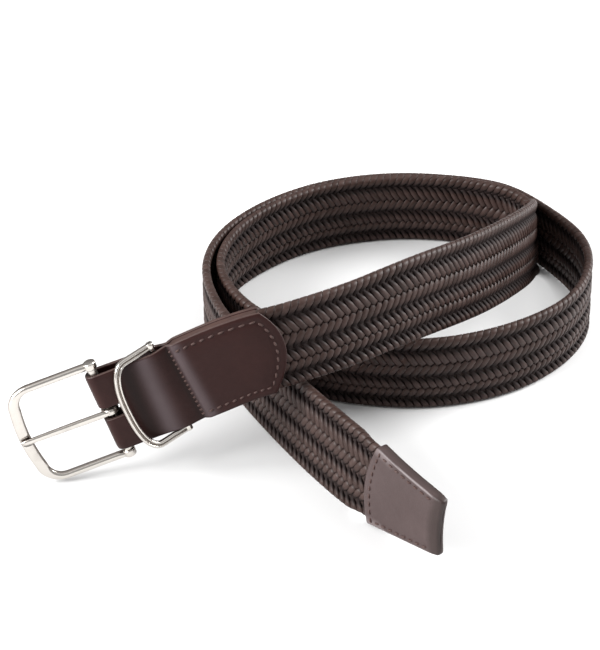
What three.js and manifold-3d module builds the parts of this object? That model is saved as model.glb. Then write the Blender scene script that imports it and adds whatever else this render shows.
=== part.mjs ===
// A woven leather belt, 35 mm wide, standing on its edge in two turns with its buckle in front.
// Millimetres, +Z up. The belt runs from the buckle bar along a route given as a short table, and
// every soft piece is built straight, as distance along, height across and depth outward, then bent
// onto that route. The buckle, its prong and the keeper ring are rigid and sit at one station of it.

import * as THREE from 'three';
import { mergeVertices } from 'three/addons/utils/BufferGeometryUtils.js';
import Module from 'manifold-3d';

const wasm = await Module();
wasm.setup();

// The coil, measured between the middles of the leather on its outer turns
const loopWidth = 165.8;
const loopDepth = 136.3;
const turnGap = 0.5; // air between two turns that lie side by side
const crossGap = 0.9; // air under the front strap where it crosses over the others

// Woven strap
const strapWidth = 35;
const strapThickness = 3.6;
const grooveDepth = 0.6;
const edgeThickness = 2;
const seatGap = 0.3; // air between pieces that lie against each other

// Leather end that holds the buckle
const leafThickness = 1.6;
const tabLength = 72;
const tabBow = 7; // how far the round end stands out past its corners
const slotWidth = 5.4;
const slotLength = 7.5;
const seamSetback = 6.5; // seam behind the keeper bar
const seamOpening = 0.5; // half the space left between the leaves at the seam

// Leather cover on the tail end
const coverLength = 35; // at its corners
const coverLeaf = 0.9;
const mouthBow = 4;
const coverMouthThickness = 5.2;
const coverEndWidth = 25.4;
const coverEndThickness = 4.6;
const endHollow = 1.2;
const pinchLength = 9; // stretch over which the weave is pressed thin to enter the cover

// Buckle frame
const barRadius = 1.8;
const frameWidth = 45.4;
const frameReach = 36; // from the bar to the far side of the corners
const sideBarWidth = 3;
const endBarWidth = 4.8;
const frameThickness = 3.2;
const cornerRadius = 8;
const endBarBow = 1.2;
const lugRadius = 2.5;

// Prong
const prongWidth = 2.8;
const prongThickness = 1.9;
const prongLoopWall = 1.4;
const prongOverhang = 0.4;
const notchDepth = 0.7;

// Keeper ring
const keeperBarRadius = 1.2;
const keeperSetback = 24.5; // keeper bar behind the buckle bar
const keeperReach = 20.6;
const keeperArm = 11.5; // straight part of each arm
const keeperArmGap = 0.55; // between an arm and the edge of the leather
const keeperBandWidth = 2.9;
const keeperBandThickness = 2.2;

// Route of the belt from the buckle bar to the tip. across and depth are shares of loopWidth and
// loopDepth, lift is how far the lower edge is above the ground in strap widths, lean is how far the
// top tips away from the outward side in degrees, and layers counts the turns that lie inside it.
const routeColumns = ['across', 'depth', 'lift', 'lean', 'layers'];
const routeTable = [
  [-0.442, -0.750, 0.371, 5.2, 0],
  [-0.290, -0.716, 0.600, 6.9, 0],
  [-0.136, -0.699, 0.909, 8.6, 0],
  [-0.016, -0.665, 1.010, 9.8, 0],
  [0.117, -0.583, 1.040, 11.6, 0],
  [0.275, -0.436, 1.010, 13.8, 0],
  [0.440, -0.220, 0.801, 15.0, 0],
  [0.566, 0.033, 0.495, 12.3, 0],
  [0.630, 0.246, 0.173, 6.6, 0],
  [0.630, 0.343, 0, 2.7, 0],
  [0.598, 0.410, 0, -1.0, 0],
  [0.542, 0.463, 0, -2.0, 0],
  [0.414, 0.515, 0, 1.4, 0],
  [0.242, 0.522, 0, 1.9, 0],
  [0.065, 0.464, 0, 1.9, 0],
  [-0.081, 0.338, 0, 2.7, 0],
  [-0.181, 0.171, 0, 4.0, 0],
  [-0.207, -0.017, 0, 0.9, 0],
  [-0.152, -0.200, 0, -1.8, 0],
  [-0.034, -0.350, 0, -3.8, 0],
  [0.139, -0.430, 0, -3.9, 0],
  [0.337, -0.439, 0, -2.0, 0],
  [0.522, -0.365, 0, 0.4, 0],
  [0.668, -0.226, 0, -0.8, 0],
  [0.746, -0.048, 0, 1.9, 0],
  [0.750, 0.139, 0, 3.2, 0],
  [0.670, 0.312, 0, 5.8, 0.5],
  [0.558, 0.454, 0, 8.5, 1],
  [0.403, 0.516, 0, 9.5, 1],
  [0.226, 0.519, 0, 8.2, 1],
  [0.055, 0.455, 0, 6.4, 1],
  [-0.095, 0.335, 0, 4.2, 0.6],
  [-0.206, 0.175, 0, 1.6, 0],
  [-0.242, -0.014, 0, 0, 0],
  [-0.215, -0.211, 0, 0, 0],
  [-0.142, -0.406, 0, 2.3, 0],
  [-0.013, -0.652, 0, 9.7, 0],
  [0.110, -0.868, 0, 10.5, 0],
  [0.217, -1.024, 0, 5.0, 0],
  [0.318, -1.154, 0, 1.8, 0],
];

// Six braided columns: where each groove between them lies, as a share of the strap width
const columnEdges = [0, 0.16, 0.36, 0.54, 0.70, 0.85, 1];

const leather = (colour, roughness) =>
  new THREE.MeshStandardMaterial({ color: colour, roughness, metalness: 0 });
const nickel = () =>
  new THREE.MeshStandardMaterial({ color: 0xc9c6c0, roughness: 0.22, metalness: 1 });

// Route sampled finely: position of the strap's middle, its width and outward directions
function sampleRoute(samplesPerRow) {
  const rows = routeTable.map((row) =>
    Object.fromEntries(routeColumns.map((name, i) => [name, row[i]])));
  const points = rows.map(({ across, depth, lift }) => new THREE.Vector3(
    across * loopWidth, depth * loopDepth, lift * strapWidth + Math.min(lift, 1) * crossGap));
  const placed = points.map((point, i) => {
    const before = points[Math.max(i - 1, 0)];
    const after = points[Math.min(i + 1, points.length - 1)];
    const outward = new THREE.Vector3(after.y - before.y, before.x - after.x, 0).normalize();
    return point.clone().addScaledVector(outward, rows[i].layers * (strapThickness + turnGap));
  });
  const path = new THREE.CatmullRomCurve3(placed, false, 'catmullrom', 0.5);
  const leanPoints = rows.map(({ lean }) => new THREE.Vector3(THREE.MathUtils.degToRad(lean), 0, 0));
  const leans = new THREE.CatmullRomCurve3(leanPoints, false, 'catmullrom', 0.5);
  const count = (rows.length - 1) * samplesPerRow;
  const up = new THREE.Vector3(0, 0, 1);
  const middles = [];
  const tilts = [];
  for (let i = 0; i <= count; i += 1) {
    const tilt = leans.getPoint(i / count).x;
    const middle = path.getPoint(i / count);
    middle.z = Math.max(middle.z, 0);
    middle.z += (strapWidth * Math.cos(tilt) + strapThickness * Math.abs(Math.sin(tilt))) / 2;
    middles.push(middle);
    tilts.push(tilt);
  }
  let distance = 0;
  return middles.map((middle, i) => {
    const along = middles[Math.min(i + 1, count)].clone().sub(middles[Math.max(i - 1, 0)]).normalize();
    const upright = up.clone().addScaledVector(along, -up.dot(along)).normalize();
    const side = along.clone().cross(upright);
    const width = upright.clone().multiplyScalar(Math.cos(tilts[i]));
    width.addScaledVector(side, -Math.sin(tilts[i]));
    const outward = along.clone().cross(width);
    distance += i > 0 ? middle.distanceTo(middles[i - 1]) : 0;
    return { middle, along, width, outward, distance };
  });
}

const route = sampleRoute(10);
const beltLength = route[route.length - 1].distance;
const coverStart = beltLength - coverLength;
const mouthStart = coverStart - mouthBow;

// The station at a distance from the buckle bar; the route runs on straight past its ends
function stationAt(distance) {
  if (distance <= 0 || distance >= beltLength) {
    const end = distance <= 0 ? route[0] : route[route.length - 1];
    const middle = end.middle.clone().addScaledVector(end.along, distance - end.distance);
    return { ...end, middle };
  }
  const next = route.findIndex((sample) => sample.distance > distance);
  const a = route[next - 1];
  const b = route[next];
  const share = (distance - a.distance) / (b.distance - a.distance);
  const middle = a.middle.clone().lerp(b.middle, share);
  const along = a.along.clone().lerp(b.along, share).normalize();
  const width = a.width.clone().lerp(b.width, share).normalize();
  const outward = a.outward.clone().lerp(b.outward, share).normalize();
  return { middle, along, width, outward };
}

// Straight coordinates (distance along, height across, depth outward) to the bent belt
function bend(geometry) {
  const position = geometry.getAttribute('position');
  for (let i = 0; i < position.count; i += 1) {
    const { middle, width, outward } = stationAt(position.getX(i));
    const point = middle.addScaledVector(width, position.getY(i)).addScaledVector(outward, position.getZ(i));
    position.setXYZ(i, point.x, point.y, point.z);
  }
  return geometry;
}

// Closed body through rings of points, all with the same count; the flat end caps follow `outline`
function loftRings(rings, outline) {
  const count = rings[0].length;
  const faces = [];
  for (let i = 0; i < rings.length - 1; i += 1) {
    for (let j = 0; j < count; j += 1) {
      const k = (j + 1) % count;
      const a = i * count + j;
      const b = i * count + k;
      faces.push(a, b, b + count, a, b + count, a + count);
    }
  }
  const last = (rings.length - 1) * count;
  for (const [a, b, c] of THREE.ShapeUtils.triangulateShape(outline, [])) {
    faces.push(a, c, b, last + a, last + b, last + c);
  }
  const geometry = new THREE.BufferGeometry().setFromPoints(rings.flat());
  geometry.setIndex(faces);
  return geometry;
}

function toManifold(geometry) {
  const plain = new THREE.BufferGeometry();
  plain.setAttribute('position', geometry.getAttribute('position'));
  plain.setIndex(geometry.getIndex());
  const merged = mergeVertices(plain, 1e-5);
  return new wasm.Manifold(new wasm.Mesh({
    numProp: 3,
    vertProperties: new Float32Array(merged.getAttribute('position').array),
    triVerts: new Uint32Array(merged.getIndex().array),
  }));
}

function fromManifold(solid) {
  const { vertProperties, triVerts } = solid.getMesh();
  const geometry = new THREE.BufferGeometry();
  geometry.setAttribute('position', new THREE.BufferAttribute(vertProperties, 3));
  geometry.setIndex(new THREE.BufferAttribute(triVerts, 1));
  return geometry;
}

const smoothShare = (from, to, value) => THREE.MathUtils.smoothstep(value, from, to);

// Woven strap

// Outer half sizes of the tail cover at a share of its length
function coverHalves(share) {
  const kept = THREE.MathUtils.clamp(share, 0, 1);
  return {
    width: THREE.MathUtils.lerp(strapWidth, coverEndWidth, kept) / 2,
    thickness: THREE.MathUtils.lerp(coverMouthThickness, coverEndThickness, kept) / 2,
  };
}

// Half sizes of the strap, which is pressed small to enter the tail cover
function strapHalves(distance) {
  const pressed = smoothShare(mouthStart - pinchLength, mouthStart - seatGap, distance);
  const inside = coverHalves((distance - coverStart) / coverLength);
  const wall = coverLeaf + seatGap;
  return {
    width: THREE.MathUtils.lerp(strapWidth / 2, inside.width - wall - seatGap, pressed),
    thickness: THREE.MathUtils.lerp(strapThickness / 2, inside.thickness - wall, pressed),
  };
}

// One face of the strap from its lower to its upper edge: ridges with grooves between the columns
function facePoints(halfWidth, halfThickness) {
  const edge = halfThickness * edgeThickness / strapThickness;
  const points = [new THREE.Vector2(-halfWidth, edge)];
  const heights = columnEdges.map((share) => halfWidth - share * 2 * halfWidth).reverse();
  const depth = Math.min(grooveDepth, halfThickness / 2);
  for (let i = 0; i < heights.length - 1; i += 1) {
    points.push(new THREE.Vector2((heights[i] + heights[i + 1]) / 2, halfThickness));
    if (i < heights.length - 2) points.push(new THREE.Vector2(heights[i + 1], halfThickness - depth));
  }
  points.push(new THREE.Vector2(halfWidth, edge));
  return points;
}

function strapSection(distance) {
  const { width, thickness } = strapHalves(distance);
  const face = facePoints(width, thickness);
  const inner = face.map((point) => new THREE.Vector2(point.x, -point.y));
  return [...inner, ...face.reverse()];
}

// Distances along the belt, closer together where it turns sharply
function strapStations(from, to) {
  const longestStep = 17;
  const turnStep = 0.21; // radians
  const shortestStep = 3;
  const stations = [from];
  let travelled = 0;
  for (let i = 1; i < route.length; i += 1) {
    const { distance, along } = route[i];
    if (distance <= from || distance >= to) continue;
    const turn = along.angleTo(route[i - 1].along);
    travelled += (distance - route[i - 1].distance) / longestStep + turn / turnStep;
    if (travelled >= 1 && to - distance > shortestStep) {
      stations.push(distance);
      travelled = 0;
    }
  }
  stations.push(to);
  return stations;
}

function braidedStrap() {
  const from = keeperSetback + seamSetback + strapThickness + leafThickness;
  const pinchEnd = mouthStart - seatGap;
  const insideLength = 0.8 * coverLength;
  const distances = [
    ...strapStations(from, pinchEnd - pinchLength),
    pinchEnd - pinchLength / 2, pinchEnd,
    ...[0, 0.33, 0.67, 1].map((share) => coverStart + share * insideLength),
  ];
  const rings = distances.map((distance) =>
    strapSection(distance).map(({ x, y }) => new THREE.Vector3(distance, x, y)));
  return bend(loftRings(rings, strapSection(from)));
}

// Leather end round the buckle bar

const tabEndAt = (height) => tabLength - tabBow * (2 * height / strapWidth) ** 2;

// Half the space between the two leaves along the belt: bar, keeper bar, seam, then the strap
const leafOpenings = [
  { at: 0, opening: barRadius + seatGap },
  { at: keeperSetback, opening: keeperBarRadius + seatGap },
  { at: keeperSetback + seamSetback, opening: seamOpening },
  { at: keeperSetback + seamSetback + strapThickness, opening: strapThickness / 2 + seatGap },
];

function leafOpening(distance) {
  const next = leafOpenings.findIndex(({ at }) => at > distance);
  if (next < 1) return leafOpenings[next === 0 ? 0 : leafOpenings.length - 1].opening;
  const a = leafOpenings[next - 1];
  const b = leafOpenings[next];
  return THREE.MathUtils.lerp(a.opening, b.opening, smoothShare(a.at, b.at, distance));
}

// A strip of leather: down the front leaf, round the bar and back along the rear leaf
function chapeSheet() {
  const seam = keeperSetback + seamSetback;
  const reach = seam + strapThickness;
  const leafDistances = [
    ...[0, 0.3, 0.55, 0.8].map((share) => keeperSetback * share),
    ...[0, 0.4, 0.75].map((share) => keeperSetback + seamSetback * share),
    ...[0, 0.35, 0.7].map((share) => seam + strapThickness * share),
    ...[0, 0.27, 0.52, 0.77, 1].map((share) => THREE.MathUtils.lerp(reach, tabLength, share)),
  ];
  const foldSteps = 10;
  const crossSteps = 8;
  const fold = Array.from({ length: foldSteps - 1 }, (_, i) => (0.5 + (i + 1) / foldSteps) * Math.PI);
  const strip = [
    ...leafDistances.toReversed().map((distance) => ({ distance, side: 1 })),
    ...fold.map((turn) => ({ turn })),
    ...leafDistances.map((distance) => ({ distance, side: -1 })),
  ];
  const outline = [];
  for (let i = 0; i <= crossSteps; i += 1) outline.push([i / crossSteps - 0.5, 1]);
  for (let i = crossSteps; i >= 0; i -= 1) outline.push([i / crossSteps - 0.5, -1]);
  const rings = strip.map(({ distance, side, turn }) => outline.map(([share, face]) => {
    const height = share * strapWidth;
    const offset = leafThickness / 2 * (1 + face);
    if (turn !== undefined) {
      const radius = leafOpening(0) + offset;
      return new THREE.Vector3(radius * Math.cos(turn), height, radius * Math.sin(turn));
    }
    const stretch = Math.max(distance - reach, 0) / (tabLength - reach);
    const along = Math.min(distance, reach) + stretch * (tabEndAt(height) - reach);
    return new THREE.Vector3(along, height, side * (leafOpening(along) + offset));
  }));
  const end = outline.map(([share, face]) =>
    new THREE.Vector2(share * strapWidth, -face * leafThickness / 2));
  return bend(loftRings(rings, end));
}

// Turns a rigid piece to stand at a station: X toward the buckle, Y down the bar, Z outward
function placement(distance) {
  const { middle, along, width, outward } = stationAt(distance);
  const basis = new THREE.Matrix4().makeBasis(along.clone().negate(), width.clone().negate(), outward);
  return basis.setPosition(middle);
}

function buckleChape() {
  const slotDepth = 4 * (barRadius + leafThickness);
  const slot = new THREE.BoxGeometry(2 * slotLength, slotWidth, slotDepth);
  slot.applyMatrix4(placement(0));
  return fromManifold(toManifold(chapeSheet()).subtract(toManifold(slot)));
}

// Leather cover on the tail

function roundedSection(halfWidth, halfThickness) {
  const round = Math.min(halfThickness * 0.7, halfWidth);
  const side = [
    [-halfWidth, halfThickness - round], [-halfWidth + round * 0.5, halfThickness - round * 0.15],
    [-halfWidth + round * 1.4, halfThickness], [-halfWidth * 0.4, halfThickness],
    [halfWidth * 0.4, halfThickness], [halfWidth - round * 1.4, halfThickness],
    [halfWidth - round * 0.5, halfThickness - round * 0.15], [halfWidth, halfThickness - round],
  ];
  const inner = side.map(([x, y]) => [x, -y]);
  return [...inner, ...side.toReversed()].map(([x, y]) => new THREE.Vector2(x, y));
}

// Body of the cover grown outward by `grow`, between two shares of its length
function coverBody(grow, fromShare, toShare) {
  const steps = 7;
  const sectionAt = (share) => {
    const { width, thickness } = coverHalves(share);
    const rolled = 1 - 0.28 * smoothShare(0.9, 1, share);
    return roundedSection(width + grow, thickness * rolled + grow);
  };
  const shares = [];
  for (let i = 0; i <= steps; i += 1) shares.push(THREE.MathUtils.lerp(fromShare, toShare, i / steps));
  if (toShare === 1) shares.splice(-1, 0, 1 - 0.06);
  const rings = shares.map((share) => sectionAt(share).map(({ x, y }) => {
    const toSide = (2 * x / strapWidth) ** 2;
    const mouth = coverStart - mouthBow * (1 - toSide);
    const end = beltLength - endHollow * (1 - (2 * x / coverEndWidth) ** 2);
    return new THREE.Vector3(mouth + share * (end - mouth), x, y);
  }));
  return bend(loftRings(rings, sectionAt(fromShare)));
}

function tipCover() {
  const pocket = coverBody(-coverLeaf, -0.1, 0.93);
  return fromManifold(toManifold(coverBody(0, 0, 1)).subtract(toManifold(pocket)));
}

// Buckle frame, prong and keeper, each drawn flat in X and Y about its own bar

// Sweeps a section along stations of a flat path: its x goes sideways in the plane, its y along Z
function sweepFlat(stations, section) {
  const rings = stations.map(({ x, y, heading, halfWidth }) => section(halfWidth).map((point) => {
    const sideX = -Math.sin(heading);
    const sideY = Math.cos(heading);
    return new THREE.Vector3(x + sideX * point.x, y + sideY * point.x, point.y);
  }));
  return loftRings(rings, section(stations[0].halfWidth));
}

function ovalSection(halfThickness) {
  const sides = 10;
  return (halfWidth) => Array.from({ length: sides }, (_, i) => {
    const angle = 2 * Math.PI * i / sides;
    return new THREE.Vector2(halfWidth * Math.cos(angle), halfThickness * Math.sin(angle));
  });
}

// Half of a path from the bar to the middle of its far side, then mirrored below the X axis
function mirrorPath(half) {
  const mirrored = half.slice(0, -1).toReversed().map(({ x, y, heading, halfWidth }) =>
    ({ x, y: -y, heading: -Math.PI - heading, halfWidth }));
  return [...half, ...mirrored];
}

function framePath() {
  const sideY = frameWidth / 2 - sideBarWidth / 2;
  const farX = frameReach - endBarWidth / 2;
  const flatHalf = sideY - cornerRadius;
  const cornerSteps = 6;
  const endSteps = 4;
  const half = [
    { x: 0, y: sideY, heading: 0, halfWidth: sideBarWidth / 2 },
    { x: (farX - cornerRadius) / 2, y: sideY, heading: 0, halfWidth: sideBarWidth / 2 },
  ];
  for (let i = 0; i <= cornerSteps; i += 1) {
    const turn = Math.PI / 2 * i / cornerSteps;
    half.push({
      x: farX - cornerRadius + cornerRadius * Math.sin(turn),
      y: flatHalf + cornerRadius * Math.cos(turn),
      heading: -turn,
      halfWidth: THREE.MathUtils.lerp(sideBarWidth, endBarWidth, smoothShare(0.3, cornerSteps, i)) / 2,
    });
  }
  for (let i = 1; i <= endSteps; i += 1) {
    const y = flatHalf * (1 - i / endSteps);
    const share = y / flatHalf;
    const x = farX + endBarBow * (1 - share * share);
    half.push({ x, y, heading: -Math.PI / 2, halfWidth: endBarWidth / 2 });
  }
  return mirrorPath(half);
}

function roundBar(radius, length, sides) {
  return toManifold(new THREE.CylinderGeometry(radius, radius, length, sides));
}

function buckleFrame() {
  const loop = toManifold(sweepFlat(framePath(), ovalSection(frameThickness / 2)));
  let frame = loop.add(roundBar(barRadius, frameWidth - sideBarWidth, 16));
  for (const side of [-1, 1]) {
    const lug = new THREE.CylinderGeometry(lugRadius, lugRadius, sideBarWidth, 16);
    lug.translate(0, side * (frameWidth - sideBarWidth) / 2, 0);
    frame = frame.add(toManifold(lug));
  }
  const notchX = frameReach + endBarBow - endBarWidth / 2;
  const notch = new THREE.BoxGeometry(2 * endBarWidth, prongWidth + 2 * seatGap, 2 * notchDepth);
  notch.translate(notchX, 0, frameThickness / 2);
  return fromManifold(frame.subtract(toManifold(notch)));
}

// Shank lying from the top of the bar to the notch in the end bar, with a loop round the bar
function buckleProng() {
  const loopInner = barRadius + seatGap;
  const loopOuter = loopInner + prongLoopWall;
  const endX = frameReach + endBarBow - prongOverhang;
  const startZ = loopOuter - prongThickness / 2;
  const restZ = frameThickness / 2 - notchDepth + seatGap + prongThickness / 2;
  const stations = [
    { share: 0, size: 1 }, { share: 0.25, size: 1 }, { share: 0.6, size: 0.92 },
    { share: 0.9, size: 0.85 }, { share: 0.97, size: 0.7 }, { share: 1, size: 0.35 },
  ];
  const outline = ovalSection(prongThickness / 2)(prongWidth / 2);
  const rings = stations.map(({ share, size }) => {
    const middleZ = THREE.MathUtils.lerp(startZ, restZ, Math.sin(share * Math.PI / 2));
    return outline.map(({ x, y }) => new THREE.Vector3(share * endX, x * size, middleZ + y * size));
  });
  const profile = [
    [loopInner, -prongWidth / 2], [loopOuter, -prongWidth / 2],
    [loopOuter, prongWidth / 2], [loopInner, prongWidth / 2], [loopInner, -prongWidth / 2],
  ].map(([x, y]) => new THREE.Vector2(x, y));
  const loop = toManifold(new THREE.LatheGeometry(profile, 20));
  const bore = roundBar(loopInner, 2 * prongWidth, 20);
  return fromManifold(toManifold(loftRings(rings, outline)).subtract(bore).add(loop));
}

// Band with a shallow groove along the middle of its outer face
function keeperSection(halfWidth) {
  const half = keeperBandThickness / 2;
  const points = [
    [-halfWidth, -half * 0.5], [-halfWidth * 0.6, -half],
    [halfWidth * 0.6, -half], [halfWidth, -half * 0.5],
    [halfWidth, half * 0.4], [halfWidth * 0.65, half], [halfWidth * 0.3, half], [0, half * 0.45],
    [-halfWidth * 0.3, half], [-halfWidth * 0.65, half], [-halfWidth, half * 0.4],
  ];
  return points.map(([x, y]) => new THREE.Vector2(x, y));
}

function keeperPath() {
  const armY = strapWidth / 2 + keeperArmGap + keeperBandWidth / 2;
  const bowSteps = 9;
  const halfWidth = keeperBandWidth / 2;
  const half = [
    { x: -keeperBarRadius, y: armY, heading: 0, halfWidth },
    { x: keeperArm / 2, y: armY, heading: 0, halfWidth },
  ];
  const bowReach = keeperReach - keeperBandWidth / 2 - keeperArm;
  const bowPoint = (i) => {
    const angle = Math.PI / 2 * i / bowSteps;
    return { x: keeperArm + bowReach * Math.sin(angle) ** 0.9, y: armY * Math.cos(angle) ** 0.8 };
  };
  for (let i = 0; i <= bowSteps; i += 1) {
    const { x, y } = bowPoint(i);
    const before = bowPoint(Math.max(i - 0.5, 0));
    const after = bowPoint(Math.min(i + 0.5, bowSteps));
    const slope = Math.atan2(after.y - before.y, after.x - before.x);
    half.push({ x, y, heading: i === bowSteps ? -Math.PI / 2 : slope, halfWidth });
  }
  return mirrorPath(half);
}

function keeperRing() {
  const armY = strapWidth / 2 + keeperArmGap + keeperBandWidth / 2;
  const bow = toManifold(sweepFlat(keeperPath(), keeperSection));
  return fromManifold(bow.add(roundBar(keeperBarRadius, 2 * armY, 12)));
}

// Assembly

const belt = new THREE.Group();

function addPiece(name, geometry, material, matrix) {
  const mesh = new THREE.Mesh(geometry, material);
  mesh.name = name;
  if (matrix) matrix.decompose(mesh.position, mesh.quaternion, mesh.scale);
  geometry.computeVertexNormals();
  belt.add(mesh);
  return mesh;
}

// The ring lies as low as its bow can on the leather
const leafTop = leafOpening(keeperSetback - keeperArm) + leafThickness;
const keeperLift = leafTop + keeperBandThickness / 2 + seatGap;
const keeperTurn = new THREE.Matrix4().makeRotationY(-Math.asin(keeperLift / keeperArm));
const keeperPlacement = placement(keeperSetback).multiply(keeperTurn);

addPiece('braided_strap', braidedStrap(), leather(0x3a2f2b, 0.6));
addPiece('buckle_chape', buckleChape(), leather(0x3d2a2a, 0.5));
addPiece('tip_cover', tipCover(), leather(0x4c3d3a, 0.5));
addPiece('buckle_frame', buckleFrame(), nickel(), placement(0));
addPiece('buckle_prong', buckleProng(), nickel(), placement(0));
addPiece('keeper_ring', keeperRing(), nickel(), keeperPlacement);

// Origin on the ground under the middle of the belt
belt.updateMatrixWorld(true);
const extent = new THREE.Box3().setFromObject(belt, true);
const centre = extent.getCenter(new THREE.Vector3());
belt.position.set(-centre.x, -centre.y, -extent.min.z);
belt.updateMatrixWorld(true);

export default belt;
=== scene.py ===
import math
import bpy
import numpy as np
from mathutils import Matrix, Vector


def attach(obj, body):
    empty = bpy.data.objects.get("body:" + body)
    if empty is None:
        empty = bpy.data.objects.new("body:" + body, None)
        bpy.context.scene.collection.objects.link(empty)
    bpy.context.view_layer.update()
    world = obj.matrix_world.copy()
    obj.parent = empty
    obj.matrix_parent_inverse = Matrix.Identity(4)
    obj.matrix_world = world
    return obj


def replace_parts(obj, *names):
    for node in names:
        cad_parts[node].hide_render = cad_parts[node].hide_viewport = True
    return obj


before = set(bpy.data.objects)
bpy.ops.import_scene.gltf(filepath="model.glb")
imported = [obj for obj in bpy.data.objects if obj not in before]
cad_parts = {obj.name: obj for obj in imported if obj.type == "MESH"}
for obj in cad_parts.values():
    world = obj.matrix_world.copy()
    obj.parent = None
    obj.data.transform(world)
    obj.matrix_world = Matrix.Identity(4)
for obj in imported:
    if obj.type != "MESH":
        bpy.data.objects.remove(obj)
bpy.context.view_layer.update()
scene = bpy.context.scene
mm = 0.001  # all sizes below are in millimetres, and meshes are made in metres

# Route of the belt
belt = {
    "loopWidth": 165.8,  # the coil, between the middles of the leather
    "loopDepth": 136.3,
    "turnGap": 0.5,
    "crossGap": 0.9,
    "width": 35.0,
    "thickness": 3.6,
    "origin": (-8.19, 39.405, -0.001),  # where the table's zero lies on the ground
    "samplesPerRow": 14,
    # across and depth as shares of the coil, lift in strap widths, lean in degrees, turns inside it
    "route": [
        (-0.442, -0.750, 0.371, 5.2, 0),
        (-0.290, -0.716, 0.600, 6.9, 0),
        (-0.136, -0.699, 0.909, 8.6, 0),
        (-0.016, -0.665, 1.010, 9.8, 0),
        (0.117, -0.583, 1.040, 11.6, 0),
        (0.275, -0.436, 1.010, 13.8, 0),
        (0.440, -0.220, 0.801, 15.0, 0),
        (0.566, 0.033, 0.495, 12.3, 0),
        (0.630, 0.246, 0.173, 6.6, 0),
        (0.630, 0.343, 0, 2.7, 0),
        (0.598, 0.410, 0, -1.0, 0),
        (0.542, 0.463, 0, -2.0, 0),
        (0.414, 0.515, 0, 1.4, 0),
        (0.242, 0.522, 0, 1.9, 0),
        (0.065, 0.464, 0, 1.9, 0),
        (-0.081, 0.338, 0, 2.7, 0),
        (-0.181, 0.171, 0, 4.0, 0),
        (-0.207, -0.017, 0, 0.9, 0),
        (-0.152, -0.200, 0, -1.8, 0),
        (-0.034, -0.350, 0, -3.8, 0),
        (0.139, -0.430, 0, -3.9, 0),
        (0.337, -0.439, 0, -2.0, 0),
        (0.522, -0.365, 0, 0.4, 0),
        (0.668, -0.226, 0, -0.8, 0),
        (0.746, -0.048, 0, 1.9, 0),
        (0.750, 0.139, 0, 3.2, 0),
        (0.670, 0.312, 0, 5.8, 0.5),
        (0.558, 0.454, 0, 8.5, 1),
        (0.403, 0.516, 0, 9.5, 1),
        (0.226, 0.519, 0, 8.2, 1),
        (0.055, 0.455, 0, 6.4, 1),
        (-0.095, 0.335, 0, 4.2, 0.6),
        (-0.206, 0.175, 0, 1.6, 0),
        (-0.242, -0.014, 0, 0, 0),
        (-0.215, -0.211, 0, 0, 0),
        (-0.142, -0.406, 0, 2.3, 0),
        (-0.013, -0.652, 0, 9.7, 0),
        (0.110, -0.868, 0, 10.5, 0),
        (0.217, -1.024, 0, 5.0, 0),
        (0.318, -1.154, 0, 1.8, 0),
    ],
}


def unit(vectors):
    return vectors / np.linalg.norm(vectors, axis=-1, keepdims=True)


def smoothShare(low, high, value):
    t = np.clip((value - low) / (high - low), 0, 1)
    return t * t * (3 - 2 * t)


def throughPoints(points, perRow):
    ends = [2 * points[0] - points[1], 2 * points[-1] - points[-2]]
    padded = np.vstack([ends[0], points, ends[1]])
    t = np.linspace(0, 1, perRow, endpoint=False)[:, None]
    rows = []
    for i in range(len(points) - 1):
        before, a, b, after = padded[i:i + 4]
        leave, arrive = (b - before) / 2, (after - a) / 2
        cubic = (2 * a - 2 * b + leave + arrive) * t**3
        rows.append(cubic + (3 * b - 3 * a - 2 * leave - arrive) * t**2 + leave * t + a)
    return np.vstack(rows + [points[-1:]])


def sampleRoute():
    table = np.array(belt["route"], float)
    across, depth, lift, lean, layers = table.T
    points = np.stack([
        across * belt["loopWidth"],
        depth * belt["loopDepth"],
        lift * belt["width"] + np.minimum(lift, 1) * belt["crossGap"],
    ], 1)
    ahead = np.vstack([points[1:], points[-1:]]) - np.vstack([points[:1], points[:-1]])
    outward = unit(np.stack([ahead[:, 1], -ahead[:, 0], np.zeros(len(points))], 1))
    points = points + outward * (layers * (belt["thickness"] + belt["turnGap"]))[:, None]
    middle = throughPoints(points, belt["samplesPerRow"])
    tilt = np.radians(throughPoints(lean[:, None], belt["samplesPerRow"])[:, 0])
    upright = belt["width"] * np.cos(tilt) + belt["thickness"] * np.abs(np.sin(tilt))
    middle[:, 2] = np.maximum(middle[:, 2], 0) + upright / 2
    along = unit(np.vstack([middle[1:], middle[-1:]]) - np.vstack([middle[:1], middle[:-1]]))
    up = unit(np.array([0, 0, 1.0]) - along * along[:, 2:3])
    side = np.cross(along, up)
    width = up * np.cos(tilt)[:, None] - side * np.sin(tilt)[:, None]
    steps = np.linalg.norm(np.diff(middle, axis=0), axis=1)
    return {
        "distance": np.concatenate([[0], np.cumsum(steps)]),
        "middle": middle + np.array(belt["origin"]),
        "along": along,
        "width": width,
        "outward": np.cross(along, width),
    }


route = sampleRoute()
beltLength = route["distance"][-1]


def stationAt(distance):
    kept = np.clip(distance, 0, beltLength)
    found = {}
    for name in ("middle", "along", "width", "outward"):
        columns = [np.interp(kept, route["distance"], route[name][:, k]) for k in range(3)]
        found[name] = np.stack(columns, -1)
    for name in ("along", "width", "outward"):
        found[name] = unit(found[name])
    found["middle"] = found["middle"] + found["along"] * (distance - kept)[..., None]
    return found


# From the straight belt (distance along, height across, depth outward) to its place in the coil
def bend(points):
    at = stationAt(points[..., 0])
    return at["middle"] + at["width"] * points[..., 1:2] + at["outward"] * points[..., 2:3]


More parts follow.
